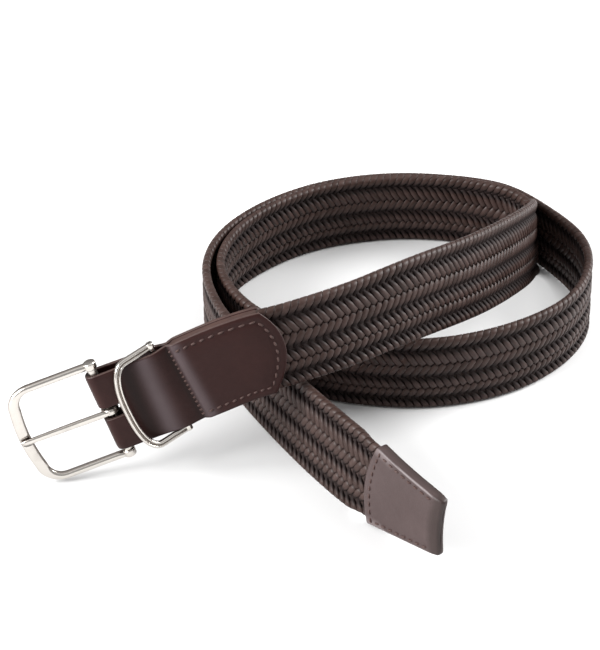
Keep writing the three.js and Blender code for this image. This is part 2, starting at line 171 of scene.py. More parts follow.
# A rigid piece at a station: X toward the buckle, Y down the bar, Z outward, turned about the bar
def placeRigid(points, distance, turn=0.0):
    at = stationAt(np.array(float(distance)))
    axes = np.stack([-at["along"], -at["width"], at["outward"]])
    spin = np.array(Matrix.Rotation(turn, 3, "Y"))
    return at["middle"] + (points @ spin.T) @ axes


print("route: belt length", round(float(beltLength), 1), "mm")


# A socket, so that shader maths can be written as plain expressions
class Wire:
    def __init__(self, tree, socket=None):
        self.tree = tree
        self.socket = socket

    def node(self, kind, settings=None, inputs=None, output=0):
        made = self.tree.nodes.new(kind)
        for name, value in (settings or {}).items():
            setattr(made, name, value)
        for name, value in (inputs or {}).items():
            if isinstance(value, Wire):
                self.tree.links.new(value.socket, made.inputs[name])
            else:
                made.inputs[name].default_value = value
        return Wire(self.tree, made.outputs[output])

    def math(self, operation, a, b):
        return self.node("ShaderNodeMath", {"operation": operation}, {0: a, 1: b})

    def __add__(self, other):
        return self.math("ADD", self, other)

    def __radd__(self, other):
        return self.math("ADD", other, self)

    def __sub__(self, other):
        return self.math("SUBTRACT", self, other)

    def __rsub__(self, other):
        return self.math("SUBTRACT", other, self)

    def __mul__(self, other):
        return self.math("MULTIPLY", self, other)

    def __rmul__(self, other):
        return self.math("MULTIPLY", other, self)

    # 0 up to low, 1 from high on
    def remap(self, low, high):
        return self.node("ShaderNodeMapRange", {"clamp": True}, {0: self, 1: low, 2: high})

    def blend(self, colourA, colourB):
        sockets = {0: self, 6: colourA, 7: colourB}
        return self.node("ShaderNodeMix", {"data_type": "RGBA"}, sockets, output=2)


def rgb(red, green, blue):
    return (red, green, blue, 1.0)


def makeMaterial(name, build):
    material = bpy.data.materials.new(name)
    material.use_nodes = True
    tree = material.node_tree
    tree.nodes.clear()
    wire = Wire(tree)
    place = wire.node("ShaderNodeTexCoord", output="Object")
    shader = build(wire, place)
    ending = tree.nodes.new("ShaderNodeOutputMaterial")
    tree.links.new(shader.socket, ending.inputs["Surface"])
    return material


def noise(place, scale, detail=3.0, roughness=0.55):
    return place.node("ShaderNodeTexNoise", {}, {
        "Vector": place, "Scale": scale, "Detail": detail, "Roughness": roughness,
    })


def cells(place, scale):
    sockets = {"Vector": place, "Scale": scale}
    return place.node("ShaderNodeTexVoronoi", {"feature": "SMOOTH_F1"}, sockets)


# A value that a mesh carries at its points, 0 on a mesh that has none
def carried(wire, name):
    return wire.node("ShaderNodeAttribute", {"attribute_name": name}, output="Fac")


def bumped(wire, strength, depth, height):
    return wire.node("ShaderNodeBump", {}, {"Strength": strength, "Distance": depth, "Height": height})


def surface(wire, colour, rough, more=None):
    sockets = {"Base Color": colour, "Roughness": rough, **(more or {})}
    return wire.node("ShaderNodeBsdfPrincipled", {}, sockets)


smoothLeather = {
    "base": rgb(0.0190, 0.0056, 0.0048),
    "worn": rgb(0.0310, 0.0106, 0.0091),
    "painted_highlight": rgb(0.082, 0.0615, 0.0655),
    "painted_shade": rgb(0.010, 0.0034, 0.0028),
    "specular": 0.16,
    "roughness": 0.42,
    "cloudsPerMetre": 45.0,
    "creasesPerMetre": 420.0,
    "grainPerMetre": 1900.0,
    "grainDepth": 0.00007,
    "bump": 0.55,
}
tipLeather = {
    **smoothLeather,
    "base": rgb(0.042, 0.0265, 0.0255),
    "worn": rgb(0.064, 0.0435, 0.0420),
    "painted_highlight": rgb(0.17, 0.14, 0.14),
    "painted_shade": rgb(0.022, 0.0125, 0.0110),
    "specular": 0.30,
    "roughness": 0.46,
}


# Worn in clouds, with a painted highlight and painted shade where the mesh carries them
def leatherShader(settings):
    def build(wire, place):
        cloud = noise(place, settings["cloudsPerMetre"], 4.0)
        grain = cells(place, settings["grainPerMetre"])
        creases = noise(place, settings["creasesPerMetre"], 5.0, 0.65)
        worn = cloud.remap(0.42, 0.72) * 0.55 + creases.remap(0.5, 0.8) * 0.3
        # painted highlight, then painted shade, where the mesh carries them
        painted_highlight = carried(wire, "painted_highlight")
        patchyHighlight = painted_highlight * (0.75 + (cloud - 0.5) * 0.6)
        colour = patchyHighlight.blend(worn.blend(settings["base"], settings["worn"]), settings["painted_highlight"])
        colour = carried(wire, "painted_shade").blend(colour, settings["painted_shade"])
        rough = settings["roughness"] + (cloud - 0.5) * 0.12 + (grain - 0.4) * 0.16 - painted_highlight * 0.06
        bump = bumped(wire, settings["bump"], settings["grainDepth"], grain * 0.6 + creases * 0.8)
        more = {"Normal": bump, "Specular IOR Level": settings["specular"]}
        return surface(wire, colour, rough, more)
    return build


# Woven strands: worn and glossy on top, dull where they dive and darkened there with painted shade
strandLeather = {
    "top": rgb(0.021, 0.0102, 0.0078),
    "worn": rgb(0.056, 0.0335, 0.0290),
    # painted shade for strands where they dive
    "dive": rgb(0.006, 0.0016, 0.0012),
    "specular": 0.20,
    "roughness": 0.45,
    "cloudsPerMetre": 60.0,
    "streaksPerMetre": 900.0,
    "grainDepth": 0.00006,
    "bump": 0.5,
}


def strandShader(wire, place):
    shade_free_height = carried(wire, "shade_free_height")
    tint = carried(wire, "tint")
    cloud = noise(place, strandLeather["cloudsPerMetre"])
    streak = noise(place, strandLeather["streaksPerMetre"], 4.0, 0.6)
    worn = tint * 0.45 + cloud.remap(0.4, 0.7) * 0.3 + streak.remap(0.5, 0.8) * 0.25
    onTop = worn.blend(strandLeather["top"], strandLeather["worn"])
    # painted shade where the strands sit low
    colour = shade_free_height.remap(0.54, 1.0).blend(strandLeather["dive"], onTop)
    sunk = 1.0 - shade_free_height.remap(0.4, 0.95)
    rough = strandLeather["roughness"] + sunk * 0.3 + (streak - 0.5) * 0.22
    bump = bumped(wire, strandLeather["bump"], strandLeather["grainDepth"], streak)
    more = {"Normal": bump, "Specular IOR Level": strandLeather["specular"]}
    return surface(wire, colour, rough, more)


backingLeather = {
    # darker than the strands on top: painted shade between them
    "dark": rgb(0.010, 0.004, 0.003),
    "pale": rgb(0.026, 0.010, 0.007),
    "roughness": 0.7,
    "cloudsPerMetre": 500.0,
}


def backingShader(wire, place):
    cloud = noise(place, backingLeather["cloudsPerMetre"])
    colour = cloud.remap(0.35, 0.7).blend(backingLeather["dark"], backingLeather["pale"])
    return surface(wire, colour, backingLeather["roughness"] + cloud * 0.2)


cutEdge = {
    "dark": rgb(0.022, 0.008, 0.006),
    "pale": rgb(0.050, 0.021, 0.015),
    "roughness": 0.5,
    "fibresPerMetre": 1300.0,
    "cloudsPerMetre": 90.0,
    "fibreDepth": 0.0001,
    "bump": 0.6,
}


def edgeShader(wire, place):
    fibres = noise(place, cutEdge["fibresPerMetre"], 4.0, 0.7)
    cloud = noise(place, cutEdge["cloudsPerMetre"])
    uneven = (fibres * 0.5 + cloud * 0.5).remap(0.35, 0.7)
    colour = uneven.blend(cutEdge["dark"], cutEdge["pale"])
    bump = bumped(wire, cutEdge["bump"], cutEdge["fibreDepth"], fibres)
    return surface(wire, colour, cutEdge["roughness"] + fibres * 0.2, {"Normal": bump})


waxedThread = {
    "dark": rgb(0.026, 0.009, 0.007),
    "pale": rgb(0.058, 0.024, 0.018),
    "roughness": 0.55,
    "twistsPerMetre": 900.0,
    "cloudsPerMetre": 300.0,
    "twistDepth": 0.00008,
    "bump": 0.6,
}


def threadShader(wire, place):
    twist = wire.node("ShaderNodeTexWave", {"bands_direction": "DIAGONAL"}, {
        "Vector": place, "Scale": waxedThread["twistsPerMetre"], "Distortion": 1.5,
    })
    cloud = noise(place, waxedThread["cloudsPerMetre"], 2.0)
    colour = (twist * 0.6 + cloud * 0.4).blend(waxedThread["dark"], waxedThread["pale"])
    bump = bumped(wire, waxedThread["bump"], waxedThread["twistDepth"], twist)
    return surface(wire, colour, waxedThread["roughness"] + cloud * 0.2, {"Normal": bump})


nickel = {
    "plate": rgb(0.62, 0.585, 0.545),
    "dull": rgb(0.36, 0.33, 0.30),
    # painted shade on the sides and underside, and tarnish in the grooves
    "shade_and_tarnish": rgb(0.120, 0.088, 0.072),
    "roughness": 0.15,
    "cloudsPerMetre": 120.0,
    "scratchesPerMetre": (700.0, 2600.0, 700.0),
    "scratchTurn": (0.4, 0.3, 0.7),
    "scratchDepth": 0.00003,
    "bump": 0.25,
}


def nickelShader(wire, place):
    cloud = noise(place, nickel["cloudsPerMetre"], 4.0)
    drawnOut = place.node("ShaderNodeMapping", {}, {
        "Vector": place, "Scale": nickel["scratchesPerMetre"], "Rotation": nickel["scratchTurn"],
    })
    scratches = noise(drawnOut, 1.0, 5.0, 0.7)
    dull = cloud.remap(0.5, 0.8) * 0.5 + scratches.remap(0.6, 0.8) * 0.25
    # painted shade toward the sides and underside, with tarnish in the grooves
    shade_and_tarnish = carried(wire, "shade_and_tarnish")
    shadedAndStained = shade_and_tarnish * (0.75 + (cloud - 0.5) * 0.5)
    colour = shadedAndStained.blend(dull.blend(nickel["plate"], nickel["dull"]), nickel["shade_and_tarnish"])
    rough = nickel["roughness"] + cloud.remap(0.35, 0.8) * 0.12
    rough = rough + scratches.remap(0.55, 0.8) * 0.10 + shade_and_tarnish * 0.10
    bump = bumped(wire, nickel["bump"], nickel["scratchDepth"], scratches)
    return surface(wire, colour, rough, {"Normal": bump, "Metallic": 1.0})


materials = {
    "smoothLeather": makeMaterial("dark_brown_leather", leatherShader(smoothLeather)),
    "tipLeather": makeMaterial("tip_leather", leatherShader(tipLeather)),
    "leatherEdge": makeMaterial("burnished_edge", edgeShader),
    "strand": makeMaterial("woven_strands", strandShader),
    "backing": makeMaterial("woven_backing", backingShader),
    "thread": makeMaterial("waxed_thread", threadShader),
    "nickel": makeMaterial("polished_nickel", nickelShader),
}
print("materials:", len(materials))


# A mesh from millimetres, with the values its points carry, on its body
def addPiece(name, points, faces, material, body, slot, attributes=None):
    mesh = bpy.data.meshes.new(name)
    mesh.from_pydata([tuple(p) for p in np.asarray(points) * mm], [], faces)
    mesh.validate()
    for key, values in (attributes or {}).items():
        layer = mesh.attributes.new(key, "FLOAT", "POINT")
        layer.data.foreach_set("value", np.asarray(values, np.float32))
    mesh.polygons.foreach_set("use_smooth", [True] * len(mesh.polygons))
    mesh.materials.append(material)
    piece = bpy.data.objects.new(name, mesh)
    scene.collection.objects.link(piece)
    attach(piece, body)
    return piece


# Faces between rings that all have the same count, numbered from `first`, with closed ends
def ringFaces(ringCount, count, first=0, capEnds=True):
    ring = np.arange(count)
    after = (ring + 1) % count
    faces = []
    for i in range(ringCount - 1):
        low, high = first + i * count, first + (i + 1) * count
        faces.extend(np.stack([low + ring, low + after, high + after, high + ring], 1).tolist())
    if capEnds:
        faces.append((first + ring[::-1]).tolist())
        faces.append((first + (ringCount - 1) * count + ring).tolist())
    return faces


def joinParts(parts):
    points, faces, start = [], [], 0
    for partPoints, partFaces in parts:
        points.append(np.asarray(partPoints, float).reshape(-1, 3))
        faces.extend([[start + i for i in face] for face in partFaces])
        start += len(points[-1])
    return np.vstack(points), faces


# A soft ridge of height 1 at `middle`, gone at about twice `reach` from it
def ridge(value, middle, reach):
    return np.exp(-(((value - middle) / reach) ** 2))


# Leather cover on the tail, which the strap's end has to fit
cover = {
    "length": 35.0,
    "leaf": 0.9,
    "play": 0.3,
    "mouthBow": 4.0,
    "mouthThickness": 5.2,
    "endWidth": 25.4,
    "endThickness": 4.6,
    "endHollow": 1.2,
    "endRounding": 1.5,
    "endFlatten": 0.22,
    "cornerRadius": 1.1,
    "crown": 0.3,
    "crownShares": (0.05, 0.25),  # the crown rises between these shares of the length
    "insideShares": (0.16, 0.08, 0.004),  # rings of the mesh, as shares of the length
    "mouthEdge": ((0.75, 0.9), (0.2, 1.0)),  # share of the leaf still to go, corner radius
    "outsideShares": (0.05, 0.08, 0.12, 0.2, 0.3, 0.4, 0.5, 0.6, 0.7, 0.78, 0.84, 0.88, 0.92),
    "endShare": 0.045,
    "endSteps": 7,
    "stitchInset": 2.2,
    "stitchShares": (0.075, 0.86),  # where the stitching starts and stops
}
coverStart = beltLength - cover["length"]
mouthStart = coverStart - cover["mouthBow"]

# Woven strap
weave = {
    "strands": 15,
    "pitch": 3.15,  # along the belt, from strand to strand
    "edges": (0, 0.16, 0.36, 0.54, 0.70, 0.85, 1),  # column edges as shares of the width
    "diveWidth": (3.1, 0.7, 3.1, 0.7, 3.1),  # half width of the valley at each inner edge
    "narrowing": (0.60, 0.0, 0.60, 0.0, 0.60),  # how much thinner a strand is where it dives there
    "wideValley": 2.0,  # from this half width on, a valley gets painted shade as a groove
    "grooveShade": (0.3, 2.3),  # painted shade on the strands fades out between these distances from a groove
    "grooveLow": 0.55,  # in a groove, the painted shade leaves the strands this share of their height
    "edgeOutOfShade": (2.2, 0.8),  # the strands come out of the painted shade between these distances from the strap's edges
    "strandThickness": 1.25,
    "strandFill": 1.05,
    "widthSpread": (0.97, 1.03),
    "section": (  # a strand cut across, as shares of its width and thickness
        (-0.50, 0.26), (-0.42, 0.44), (0.0, 0.52), (0.42, 0.44),
        (0.50, 0.26), (0.42, -0.42), (0.0, -0.50), (-0.42, -0.42),
    ),
    "wrapShare": 0.05,  # of a turn, spent going round each edge of the strap
    "wrapSteps": 6,
    "pinchLength": 9.0,
    "tuckedIn": 0.06,  # narrower inside the leather end, whose edges close over it
    "tuckedUntil": (60.0, 65.5),
    "from": 40.0,
    "intoCover": 6.0,
    "splitAt": 556.0,
    "seed": 11,
}
strapEnd = coverStart + weave["intoCover"]


def coverHalves(share):
    kept = np.clip(share, 0, 1)
    halfWidth = (belt["width"] + (cover["endWidth"] - belt["width"]) * kept) / 2
    halfThick = (cover["mouthThickness"] + (cover["endThickness"] - cover["mouthThickness"]) * kept) / 2
    return halfWidth, halfThick


# The strap is pressed small where it enters the tail cover and inside the leather end
def pressStrap(points):
    distance = points[..., 0]
    pressed = smoothShare(mouthStart - weave["pinchLength"], mouthStart, distance)
    tucked = weave["tuckedIn"] * (1 - smoothShare(*weave["tuckedUntil"], distance))
    insideWidth, insideThick = coverHalves((distance - coverStart) / cover["length"])
    widthRoom = (insideWidth - cover["leaf"] - cover["play"]) / (belt["width"] / 2)
    thickRoom = (insideThick - cover["leaf"] - cover["play"]) / (belt["thickness"] / 2)
    shaped = points.copy()
    shaped[..., 1] *= (1 + pressed * (widthRoom - 1)) * (1 - tucked)
    shaped[..., 2] *= 1 + pressed * (thickRoom - 1)
    return shaped


# One full turn of a strand: phase, height across the strap, depth, and the angle of its flat side
def strandTurn():
    half = belt["width"] / 2
    lift = (belt["thickness"] - weave["strandThickness"]) / 2
    flat = half - weave["strandThickness"] / 2 - lift
    rise = 0.5 - weave["wrapShare"]
    edges = [half - share * belt["width"] for share in weave["edges"][1:-1]]
    valleys = list(zip(edges, weave["diveWidth"]))
    heights = [flat]
    for edge, dive in valleys:
        heights += [edge + dive * step for step in (1, 0.5, 0, -0.5, -1)]
    heights = np.array(heights + [-flat])
    upward = heights[::-1]

    def depthAt(height, goingDown):
        depth = []
        for y in height:
            column = sum(y < edge for edge, dive in valleys)
            near = min(abs(y - edge) / dive for edge, dive in valleys)
            sign = 1 if (column % 2 == 1) == goingDown else -1
            depth.append(sign * lift * math.sin(min(near, 1) * math.pi / 2))
        return np.array(depth)

    climb = (upward + flat) / (2 * flat) * rise
    descent = 0.5 + (1 - (heights + flat) / (2 * flat)) * rise
    shares = np.linspace(0, 1, weave["wrapSteps"])[1:-1]
    wrap = [(q, lift * math.sin(math.pi * q), lift * math.cos(math.pi * q)) for q in shares]
    # up, over the top edge, down on the other face, and back under the lower edge
    turn = list(zip(climb, upward, depthAt(upward, False), np.zeros(len(upward))))
    for q, out, depth in wrap:
        turn.append((rise + weave["wrapShare"] * q, flat + out, depth, math.pi * q))
    turn += list(zip(descent, heights, depthAt(heights, True), np.full(len(heights), math.pi)))
    for q, out, depth in wrap:
        turn.append((0.5 + rise + weave["wrapShare"] * q, -flat - out, depth, math.pi * (1 - q)))
    return np.array(turn)


# One strand from end to end, as rings of its section along the straight belt
def strandRings(lineStart, distanceFrom, distanceTo, turn, rng):
    period = weave["strands"] * weave["pitch"]
    first = math.floor((distanceFrom - lineStart) / period)
    last = math.ceil((distanceTo - lineStart) / period)
    rows = []
    for k in range(first, last + 1):
        block = turn.copy()
        block[:, 0] = lineStart + (block[:, 0] + k) * period
        rows.append(block)
    rows = np.vstack(rows)
    rows = rows[(rows[:, 0] > distanceFrom) & (rows[:, 0] < distanceTo)]
    centre = rows[:, :3]
    tangent = unit(np.gradient(centre, axis=0))
    face = np.stack([np.zeros(len(rows)), np.sin(rows[:, 3]), np.cos(rows[:, 3])], 1)
    normal = unit(face - tangent * np.sum(face * tangent, 1)[:, None])
    sideways = np.cross(tangent, normal)
    half = belt["width"] / 2
    slope = math.atan2(2 * half, period / 2)
    spread = rng.uniform(*weave["widthSpread"])
    wide = np.full(len(rows), weave["pitch"] * math.sin(slope) * weave["strandFill"] * spread)
    for share, dive, thinner in zip(weave["edges"][1:-1], weave["diveWidth"], weave["narrowing"]):
        away = np.abs(centre[:, 1] - half + share * belt["width"])
        wide *= 1 - thinner * (1 - smoothShare(0, dive * 0.9, away))
    section = np.array(weave["section"])
    return (
        centre[:, None]
        + sideways[:, None] * section[:, 0][None, :, None] * wide[:, None, None]
        + normal[:, None] * (section[:, 1] * weave["strandThickness"])[None, :, None]
    )


# Painted shade in the grooves: 1 at heights clear of the wide grooves, falling to grooveLow in one
def outOfGrooveShade(heights):
    clear = np.ones(len(heights))
    low = weave["grooveLow"]
    for share, dive in zip(weave["edges"][1:-1], weave["diveWidth"]):
        if dive > weave["wideValley"]:
            away = np.abs(heights - belt["width"] * (0.5 - share))
            clear *= low + (1 - low) * smoothShare(*weave["grooveShade"], away)
    return clear


def weaveStrap():
    rng = np.random.default_rng(weave["seed"])
    turn = strandTurn()
    strands = []
    for i in range(weave["strands"]):
        rings = strandRings(i * weave["pitch"], weave["from"], strapEnd, turn, rng)
        strands.append((rings, rng.uniform()))
    shadeFreeFrom, shadeFreeTo = (belt["width"] / 2 - depth for depth in weave["edgeOutOfShade"])
    # the strap is shown as two lengths that meet ring to ring
    for name, isFront in (("braid_front_run", True), ("braid_rear_run", False)):
        points, faces, shade_free_height, tint = [], [], [], []
        start = 0
        for rings, shade in strands:
            split = int(np.searchsorted(rings[:, 0, 0], weave["splitAt"]))
            kept = rings[:split + 1] if isFront else rings[split:]
            faces.extend(ringFaces(len(kept), kept.shape[1], start))
            flat = kept.reshape(-1, 3)
            points.append(bend(pressStrap(flat)))
            # painted shade: the strands darken by depth and in the wide grooves, but not near the
            # strap's edges
            onEdge = smoothShare(shadeFreeFrom, shadeFreeTo, np.abs(flat[:, 1]))
            height = np.maximum(np.abs(flat[:, 2]) / (belt["thickness"] / 2), onEdge)
            shade_free_height.append(height * outOfGrooveShade(flat[:, 1]))
            tint.append(np.full(len(flat), shade))
            start += len(flat)
        shown = {"shade_free_height": np.concatenate(shade_free_height), "tint": np.concatenate(tint)}
        piece = addPiece(name, np.vstack(points), faces, materials["strand"], "belt", "woven_leather",
                         attributes=shown)
        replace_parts(piece, "braided_strap")
        print(name, len(faces), "faces")


# What shows between the strands: those that cross deeper in, as one layer darkened with painted shade
backing = {"inset": 1.3, "middle": 0.35, "edge": 0.3, "step": 2.5}


def weaveBacking():
    distances = np.arange(weave["from"], strapEnd - 1, backing["step"])
    half = belt["width"] / 2 - backing["inset"]
    middle, edge = backing["middle"], backing["edge"]
    ring = [(-half, -edge), (0, -middle), (half, -edge), (half, edge), (0, middle), (-half, edge)]
    rings = np.array([[(d, y, z) for y, z in ring] for d in distances])
    points = bend(pressStrap(rings)).reshape(-1, 3)
    faces = ringFaces(len(distances), len(ring))
    piece = addPiece("braid_backing", points, faces, materials["backing"], "belt", "woven_leather")
    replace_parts(piece, "braided_strap")


weaveBacking()
weaveStrap()

# Leather end round the buckle bar
chape = {
    "leaf": 1.6,
    "seatGap": 0.3,
    "barRadius": 1.8,
    "keeperBarRadius": 1.2,
    "keeperSetback": 24.5,
    "seamSetback": 6.5,
    "seamOpening": 0.5,
    "tabLength": 72.0,
    "tabBow": 7.0,
    "slotWidth": 5.4,
    "slotLength": 7.5,
    "stitchInset": 3.0,
    "grooveDepth": 0.3,
    "grooveReach": 0.8,
    "crown": 0.22,
    "crownReach": (3.5, 9.0),
    "rolledEdge": 0.35,
    "rollReach": 1.6,
    "foldRoll": 0.7,  # share of the rolled edge that the fold has
    "endSlant": 0.93,  # the inset from the round end, as a share of the distance along the belt
    "barBulge": (0.75, 1.5, 5.0),  # over the keeper bar: height, how far before it, reach
    "seamPinch": (0.35, 0.4, 1.1),  # in the seam: depth, how far past it, reach
    "edgeRounding": 0.4,
}
seamAt = chape["keeperSetback"] + chape["seamSetback"]
tabStart = seamAt + belt["thickness"]
chapeHighlightAndShade = {  # painted highlight and painted shade, each as strength, middle and reach along the belt
    # painted highlight over the bulge at the keeper bar, and just past the seam
    "overBar": (1.05, chape["keeperSetback"] - 5.2, 3.7),
    "pastSeam": (1.1, tabStart - 0.2, 2.4),
    # painted shade in the seam's valley, and the keeper ring's painted shadow beside it
    "inSeam": (1.0, seamAt + 0.2, 1.9),
    "byRing": (0.95, 11.6, 3.2),
    "sideInset": 0.6,
}


def leafOpening(distance):
    stops = [
        (0, chape["barRadius"] + chape["seatGap"]),
        (chape["keeperSetback"], chape["keeperBarRadius"] + chape["seatGap"]),
        (seamAt, chape["seamOpening"]),
        (tabStart, belt["thickness"] / 2 + chape["seatGap"]),
    ]
    opening = np.full(np.shape(distance), stops[0][1], float)
    for (a, low), (b, high) in zip(stops, stops[1:]):
        opening = opening + (high - low) * smoothShare(a, b, distance)
    return opening


def tabEndAt(height):
    return chape["tabLength"] - chape["tabBow"] * (2 * height / belt["width"]) ** 2


# Leather pressed down at the stitch line and rolled at the cut edge, crowned between them
def leafRelief(distance, height):
    toSide = belt["width"] / 2 - np.abs(height)
    toEnd = (tabEndAt(height) - distance) * chape["endSlant"]
    inset = np.minimum(toSide, toEnd)
    sewn = smoothShare(seamAt + 1, tabStart + 1, distance)
    groove = -chape["grooveDepth"] * ridge(inset, chape["stitchInset"], chape["grooveReach"])
    crown = chape["crown"] * smoothShare(*chape["crownReach"], inset)
    rolled = -chape["rolledEdge"] * (1 - smoothShare(0, chape["rollReach"], inset))
    bulge, beforeBar, bulgeReach = chape["barBulge"]
    overBar = bulge * ridge(distance, chape["keeperSetback"] - beforeBar, bulgeReach)
    pinch, pastSeam, pinchReach = chape["seamPinch"]
    pinched = -pinch * ridge(distance, seamAt + pastSeam, pinchReach)
    folded = rolled * chape["foldRoll"] + overBar
    return sewn * (groove + crown + rolled) + (1 - sewn) * folded + pinched


# Painted highlight and painted shade on the leather end
def chapeHighlightAndShadeOf(straight):
    found = {}
    for place in ("overBar", "pastSeam", "inSeam", "byRing"):
        strength, middle, reach = chapeHighlightAndShade[place]
        found[place] = strength * ridge(straight[:, 0], middle, reach)
    onTurns = np.abs(straight[:, 1]) < belt["width"] / 2 - chapeHighlightAndShade["sideInset"]
    return {
        "painted_highlight": np.minimum(np.maximum(found["overBar"], found["pastSeam"]), 1) * onTurns,
        "painted_shade": np.maximum(found["inSeam"], found["byRing"]),
    }


# How finely the leather end is meshed: counts of rows and columns, and the tab's row pitch
chapeGrid = {"sides": 18, "slot": 7, "bySlot": 9, "overKeeper": 28, "fold": 15, "tabPitch": 0.9}


def makeChape():
    halfSlot = chape["slotWidth"] / 2
    outer = np.linspace(halfSlot, belt["width"] / 2, chapeGrid["sides"])
    inner = np.linspace(-halfSlot, halfSlot, chapeGrid["slot"])[1:-1]
    heights = np.concatenate([-outer[::-1], inner, outer])
    near = np.linspace(0, chape["slotLength"], chapeGrid["bySlot"])
    overKeeper = np.linspace(chape["slotLength"], seamAt, chapeGrid["overKeeper"])[1:]
    tabRows = int((chape["tabLength"] - seamAt) / chapeGrid["tabPitch"])
    tab = np.linspace(seamAt, chape["tabLength"], tabRows)[1:]
    distances = np.concatenate([near, overKeeper, tab])

    def leafRow(distance, side):
        stretch = max(distance - tabStart, 0) / (chape["tabLength"] - tabStart)
        along = min(distance, tabStart) + stretch * (tabEndAt(heights) - tabStart)
        depth = leafOpening(along) + chape["leaf"] / 2 + leafRelief(along, heights)
        return np.stack([along, heights, side * depth], 1)

    # down the front leaf, round the bar and up the back leaf
    rows = [leafRow(distance, 1) for distance in distances[::-1]]
    radii = leafOpening(0.0) + chape["leaf"] / 2 + leafRelief(np.zeros(len(heights)), heights)
    turns = np.linspace(0.5, 1.5, chapeGrid["fold"])[1:-1] * math.pi
    rows += [np.stack([radii * math.cos(turn), heights, radii * math.sin(turn)], 1) for turn in turns]
    rows += [leafRow(distance, -1) for distance in distances]
    fromBar = np.concatenate([distances[::-1], np.zeros(len(turns)), distances])
    count = len(heights)
    faces = []
    for i in range(len(rows) - 1):
        besideSlot = max(fromBar[i], fromBar[i + 1]) <= chape["slotLength"] + 1e-6
        for j in range(count - 1):
            if besideSlot and abs(heights[j] + heights[j + 1]) / 2 < halfSlot:
                continue
            a = i * count + j
            faces.append((a, a + 1, a + count + 1, a + count))
    straight = np.vstack(rows)
    piece = addPiece("leather_end", bend(straight), faces, materials["smoothLeather"], "belt",
                     "end_leather", attributes=chapeHighlightAndShadeOf(straight))
    piece.data.materials.append(materials["leatherEdge"])
    shell = piece.modifiers.new("leaf", "SOLIDIFY")
    shell.thickness = chape["leaf"] * mm
    shell.offset = 0
    shell.use_even_offset = True
    shell.material_offset_rim = 1
    rounding = piece.modifiers.new("edges", "BEVEL")
    rounding.width = chape["edgeRounding"] * mm
    rounding.segments = 3
    rounding.limit_method = "ANGLE"
    rounding.angle_limit = math.radians(50)
    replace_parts(piece, "buckle_chape")


# Both long sides of the sewn part, closed and burnished over the strap inside
sideEdge = {
    "pastSeam": 1.2,
    "beforeEnd": 0.6,
    "overlap": 0.45,
    "inset": 0.35,
    "bow": 0.3,
    "thickness": 0.6,
    "rings": 40,
    "across": 9,
}


def closeTabSides():
    half, across = belt["width"] / 2, sideEdge["across"]
    distances = np.linspace(seamAt + sideEdge["pastSeam"], tabEndAt(half) - sideEdge["beforeEnd"],
                            sideEdge["rings"])
    parts = []
    for side in (1, -1):
        rings = []
        for distance in distances:
            reach = float(leafOpening(distance)) + sideEdge["overlap"]
            depth = np.linspace(-reach, reach, across)
            bowed = half - sideEdge["inset"] - sideEdge["bow"] * (1 - (depth / reach) ** 2)
            face = np.column_stack([np.full(across, distance), side * bowed, depth])
            back = np.column_stack([face[:, 0], side * (bowed - sideEdge["thickness"]), depth])[::-1]
            rings.append(np.vstack([face, back])[::side])
        parts.append((bend(np.vstack(rings)), ringFaces(len(distances), 2 * across)))
    points, faces = joinParts(parts)
    piece = addPiece("tab_side_edges", points, faces, materials["leatherEdge"], "belt", "end_leather")
    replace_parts(piece, "buckle_chape")


makeChape()
closeTabSides()
print("leather end")

# Stitches
stitch = {
    "length": 2.4,
    "pitch": 3.3,
    "radius": 0.42,
    "sides": 8,
    "slant": 0.18,
    "flatten": 0.8,
    "profile": (  # place along the stitch, size, and height, as shares
        (-0.5, 0.15, -0.9), (-0.42, 0.7, -0.3), (-0.25, 1.0, 0.25), (0, 1.05, 0.4),
        (0.25, 1.0, 0.25), (0.42, 0.7, -0.3), (0.5, 0.15, -0.9),
    ),
    "endInset": 1.15,  # the round end's line lies this much further in than the sides'
    "seamLength": 2.3,
    "seamPitch": 2.0,
    "seamOverrun": 1.5,
    "seamOffset": 1.1,
    "sideSteps": 24,
    "endSteps": 41,
    "seamSteps": 30,
}


# Evenly spaced places along a line of straight-belt points
def alongLine(line, pitch):
    line = np.asarray(line, float)
    steps = np.concatenate([[0], np.cumsum(np.linalg.norm(np.diff(line, axis=0), axis=1))])
    count = max(int(steps[-1] / pitch), 1)
    at = (np.arange(count) + 0.5) * steps[-1] / count

    def placesAt(distance):
        return np.stack([np.interp(distance, steps, line[:, k]) for k in range(3)], 1)

    return placesAt(at), unit(placesAt(at + 0.05) - placesAt(at - 0.05))


def stitchParts(line, depthSign, length=stitch["length"], pitch=stitch["pitch"], across=False):
    radius = stitch["radius"]
    places, heading = alongLine(line, pitch)
    outward = np.array([0, 0, float(depthSign)])
    angles = np.linspace(0, 2 * math.pi, stitch["sides"], endpoint=False)
    parts = []
    for place, direction in zip(places, heading):
        side = np.cross(outward, direction)
        if across:
            direction, side = side, -direction
        direction = unit(direction + side * stitch["slant"])
        side = np.cross(outward, direction)
        rings = []
        for share, size, rise in stitch["profile"]:
            centre = place + direction * share * length + outward * rise * radius
            rings.append(
                centre
                + np.outer(np.cos(angles), side) * size * radius
                + np.outer(np.sin(angles), outward) * size * radius * stitch["flatten"]
            )
        points = bend(np.vstack(rings))
        parts.append((points, ringFaces(len(rings), stitch["sides"])))
    return parts


